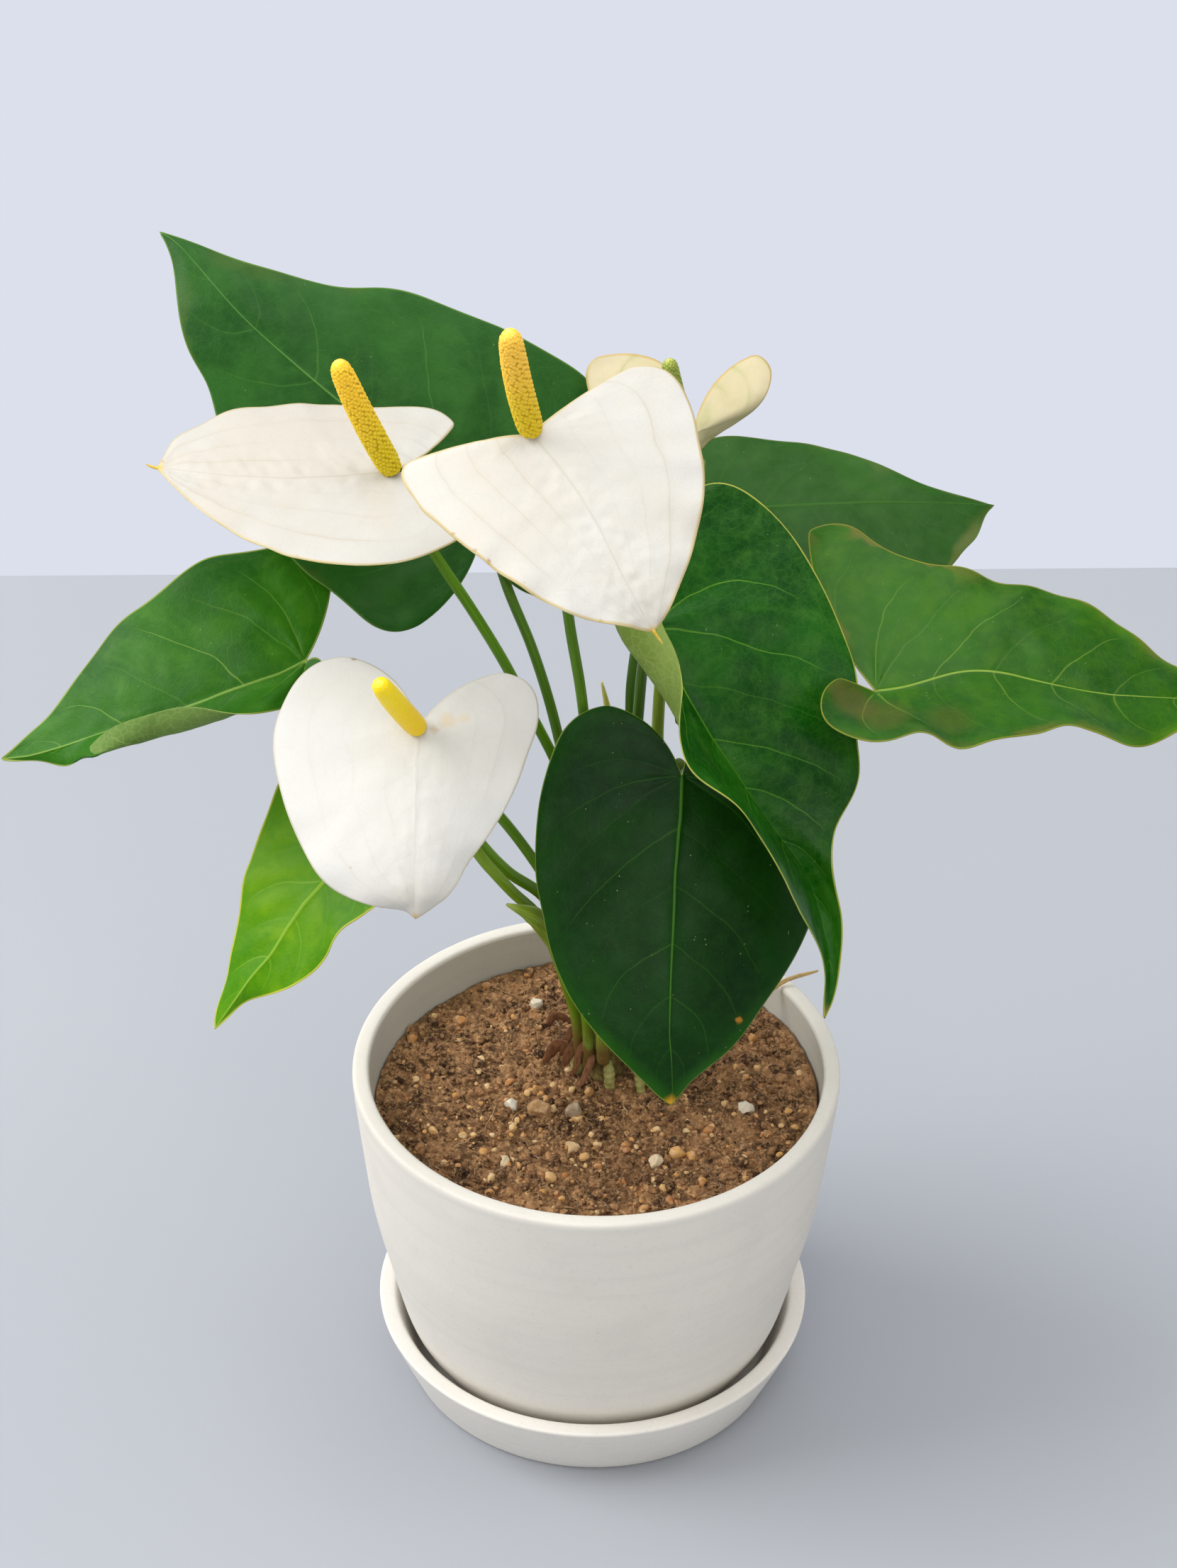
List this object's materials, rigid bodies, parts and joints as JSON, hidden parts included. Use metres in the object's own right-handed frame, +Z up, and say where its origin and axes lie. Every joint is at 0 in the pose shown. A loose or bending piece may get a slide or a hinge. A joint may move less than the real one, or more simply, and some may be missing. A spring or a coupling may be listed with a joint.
{
  "type": "potted anthurium",
  "caption": "Potted anthurium with heart-shaped leaves and white spathes on tall stalks, in a plain flared planter standing on a matching saucer.",
  "frame": {"origin": "centre of the saucer's flat underside, which is the resting face", "axes": "+Z up along the pot's axis; +X to the viewer's right and -Y towards the viewer, the plant's display side"},
  "size_m": [0.4746, 0.2519, 0.5175],
  "materials": {
    "aerial_root": null,
    "dry_sheath": null,
    "leaf_dark": null,
    "leaf_mid": null,
    "leaf_young": null,
    "pot_clay": "matt warm light grey, unglazed feel",
    "potting_mix": null,
    "spadix": null,
    "spadix_old": null,
    "spadix_young": null,
    "spathe_old": null,
    "spathe_white": null,
    "stem": null,
    "stem_young": null,
    "stone_brown": "dull",
    "stone_pale": "dull"
  },
  "bodies": {
    "root": {"aerial_root_left": "aerial_root", "aerial_root_middle": "aerial_root", "aerial_root_right": "aerial_root", "dry_sheath_long": "dry_sheath", "dry_sheath_short": "dry_sheath", "dry_straw": "dry_sheath", "leaf_back_left": "leaf_dark", "leaf_back_right": "leaf_dark", "leaf_centre_right": "leaf_dark", "leaf_front": "leaf_dark", "leaf_left": "leaf_mid", "leaf_lower_left": "leaf_young", "leaf_right": "leaf_mid", "new_leaf_sheath": "stem_young", "new_shoot": "stem_young", "peduncle_left": "stem", "peduncle_lower": "stem", "peduncle_rear": "stem", "peduncle_right": "stem", "petiole_back_left": "stem", "petiole_back_right": "stem", "petiole_centre_right": "stem", "petiole_front": "stem", "petiole_left": "stem", "petiole_lower_left": "stem", "petiole_right": "stem", "pot": "pot_clay", "potting_mix": "potting_mix", "rootstock": "dry_sheath", "saucer": "pot_clay", "spadix_left": "spadix", "spadix_lower": "spadix_young", "spadix_rear": "spadix_old", "spadix_right": "spadix", "spathe_left": "spathe_white", "spathe_lower": "spathe_white", "spathe_rear": "spathe_old", "spathe_right": "spathe_white", "stone_back_left": "stone_pale", "stone_brown": "stone_brown", "stone_front_left": "stone_pale", "stone_front_right": "stone_pale", "stone_grey": "stone_brown", "stone_right": "stone_pale", "stone_tan": "stone_pale", "stone_white": "stone_pale"}
  },
  "joints": []
}
